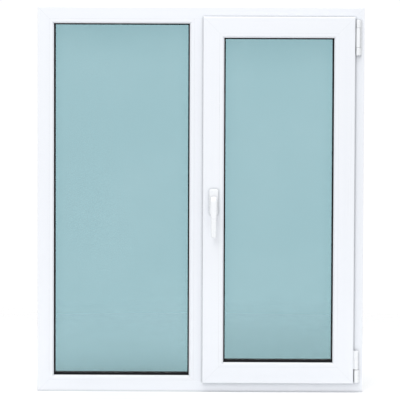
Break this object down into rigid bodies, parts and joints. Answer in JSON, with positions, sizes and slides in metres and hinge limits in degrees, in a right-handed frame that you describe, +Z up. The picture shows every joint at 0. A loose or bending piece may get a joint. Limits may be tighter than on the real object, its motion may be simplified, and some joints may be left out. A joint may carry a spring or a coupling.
{
  "type": "tilt-and-turn casement window",
  "caption": "White plastic window with a fixed light beside an inward-opening tilt-and-turn casement, with handle, hinges and full internal hardware.",
  "frame": {"origin": "middle of the sill's underside, at half the frame's depth", "axes": "+X to the right seen from the room, +Y to the outside, +Z up"},
  "size_m": [1.1, 0.1321, 1.3],
  "materials": {
    "white_profile": "satin",
    "white_hardware": "satin",
    "grey_plastic": "matte",
    "galvanised_steel": "matte",
    "plated_steel": "satin",
    "bright_steel": "polished",
    "zinc_alloy": "satin",
    "spacer_black": "matte",
    "black_rubber": "matte",
    "pane_glass": "polished"
  },
  "bodies": {
    "frame": {"frame_head": "white_profile", "frame_sill": "white_profile", "frame_jamb_left": "white_profile", "frame_jamb_right": "white_profile", "frame_steel_bars": "galvanised_steel", "mullion": "white_profile", "mullion_steel_bar": "galvanised_steel", "mullion_connectors": "zinc_alloy", "mullion_connector_screws": "bright_steel", "drain_caps": "white_profile", "rebate_seal": "black_rubber", "keeps": "zinc_alloy", "keep_screws": "bright_steel", "stay_bearing": "white_hardware", "stay_bearing_pin": "bright_steel", "pivot_rest": "white_hardware", "hinge_screws": "bright_steel", "fixed_pane_room": "pane_glass", "fixed_pane_outer": "pane_glass", "fixed_spacer_bars": "spacer_black", "fixed_bead_uprights": "white_profile", "fixed_bead_rails": "white_profile", "fixed_gasket_room": "black_rubber", "fixed_gasket_outer": "black_rubber", "fixed_setting_blocks": "grey_plastic"},
    "swivel": {"swivel_cup": "bright_steel", "swivel_cross_pin": "bright_steel"},
    "sash": {"sash_rail_top": "white_profile", "sash_rail_bottom": "white_profile", "sash_stile_hinge": "white_profile", "sash_stile_lock": "white_profile", "sash_steel_bars": "galvanised_steel", "overlap_seal": "black_rubber", "sash_pane_room": "pane_glass", "sash_pane_outer": "pane_glass", "sash_spacer_bars": "spacer_black", "sash_bead_uprights": "white_profile", "sash_bead_rails": "white_profile", "sash_gasket_room": "black_rubber", "sash_gasket_outer": "black_rubber", "sash_setting_blocks": "grey_plastic", "gear_case": "zinc_alloy", "lock_faceplate": "plated_steel", "top_faceplate": "plated_steel", "corner_hinge": "white_hardware", "corner_hinge_pin": "bright_steel", "stay_guide": "zinc_alloy", "rosette_base": "grey_plastic", "rosette_cover": "white_hardware", "handle_screws": "bright_steel"},
    "stay": {"stay_arm": "plated_steel", "stay_slide_pin": "bright_steel"},
    "handle": {"handle_lever": "white_hardware", "handle_spindle": "bright_steel", "gear_pinion": "zinc_alloy"},
    "lock_drive": {"lock_rod": "plated_steel", "lock_cams": "bright_steel"},
    "top_drive": {"top_rod": "plated_steel", "top_cam": "bright_steel"}
  },
  "joints": [
    {"name": "turn", "type": "hinge", "parent": "frame", "child": "swivel", "pos_m": [0.5285, -0.04, 0.043], "axis": [0, 0, 1], "range_deg": [0, 90]},
    {"name": "tilt", "type": "hinge", "parent": "swivel", "child": "sash", "pos_m": [0.5285, -0.04, 0.043], "axis": [1, 0, 0], "range_deg": [0, 6]},
    {"name": "stay_swing", "type": "hinge", "parent": "swivel", "child": "stay", "pos_m": [0.5285, -0.04, 1.2], "axis": [0, 0, 1], "range_deg": [0, 20.6]},
    {"name": "handle_turn", "type": "hinge", "parent": "sash", "child": "handle", "pos_m": [0.045, -0.051, 0.645], "axis": [0, -1, 0], "range_deg": [0, 180]},
    {"name": "lock_slide", "type": "slide", "parent": "sash", "child": "lock_drive", "axis": [0, 0, -1], "range_m": [0, 0.036]},
    {"name": "top_slide", "type": "slide", "parent": "sash", "child": "top_drive", "axis": [-1, 0, 0], "range_m": [0, 0.036]}
  ],
  "couplings": [
    {"joint": "stay_swing", "follows": "tilt", "ratio": 3.358},
    {"joint": "lock_slide", "follows": "handle_turn", "m_per_rad": 0.0114},
    {"joint": "top_slide", "follows": "handle_turn", "m_per_rad": 0.0114}
  ]
}
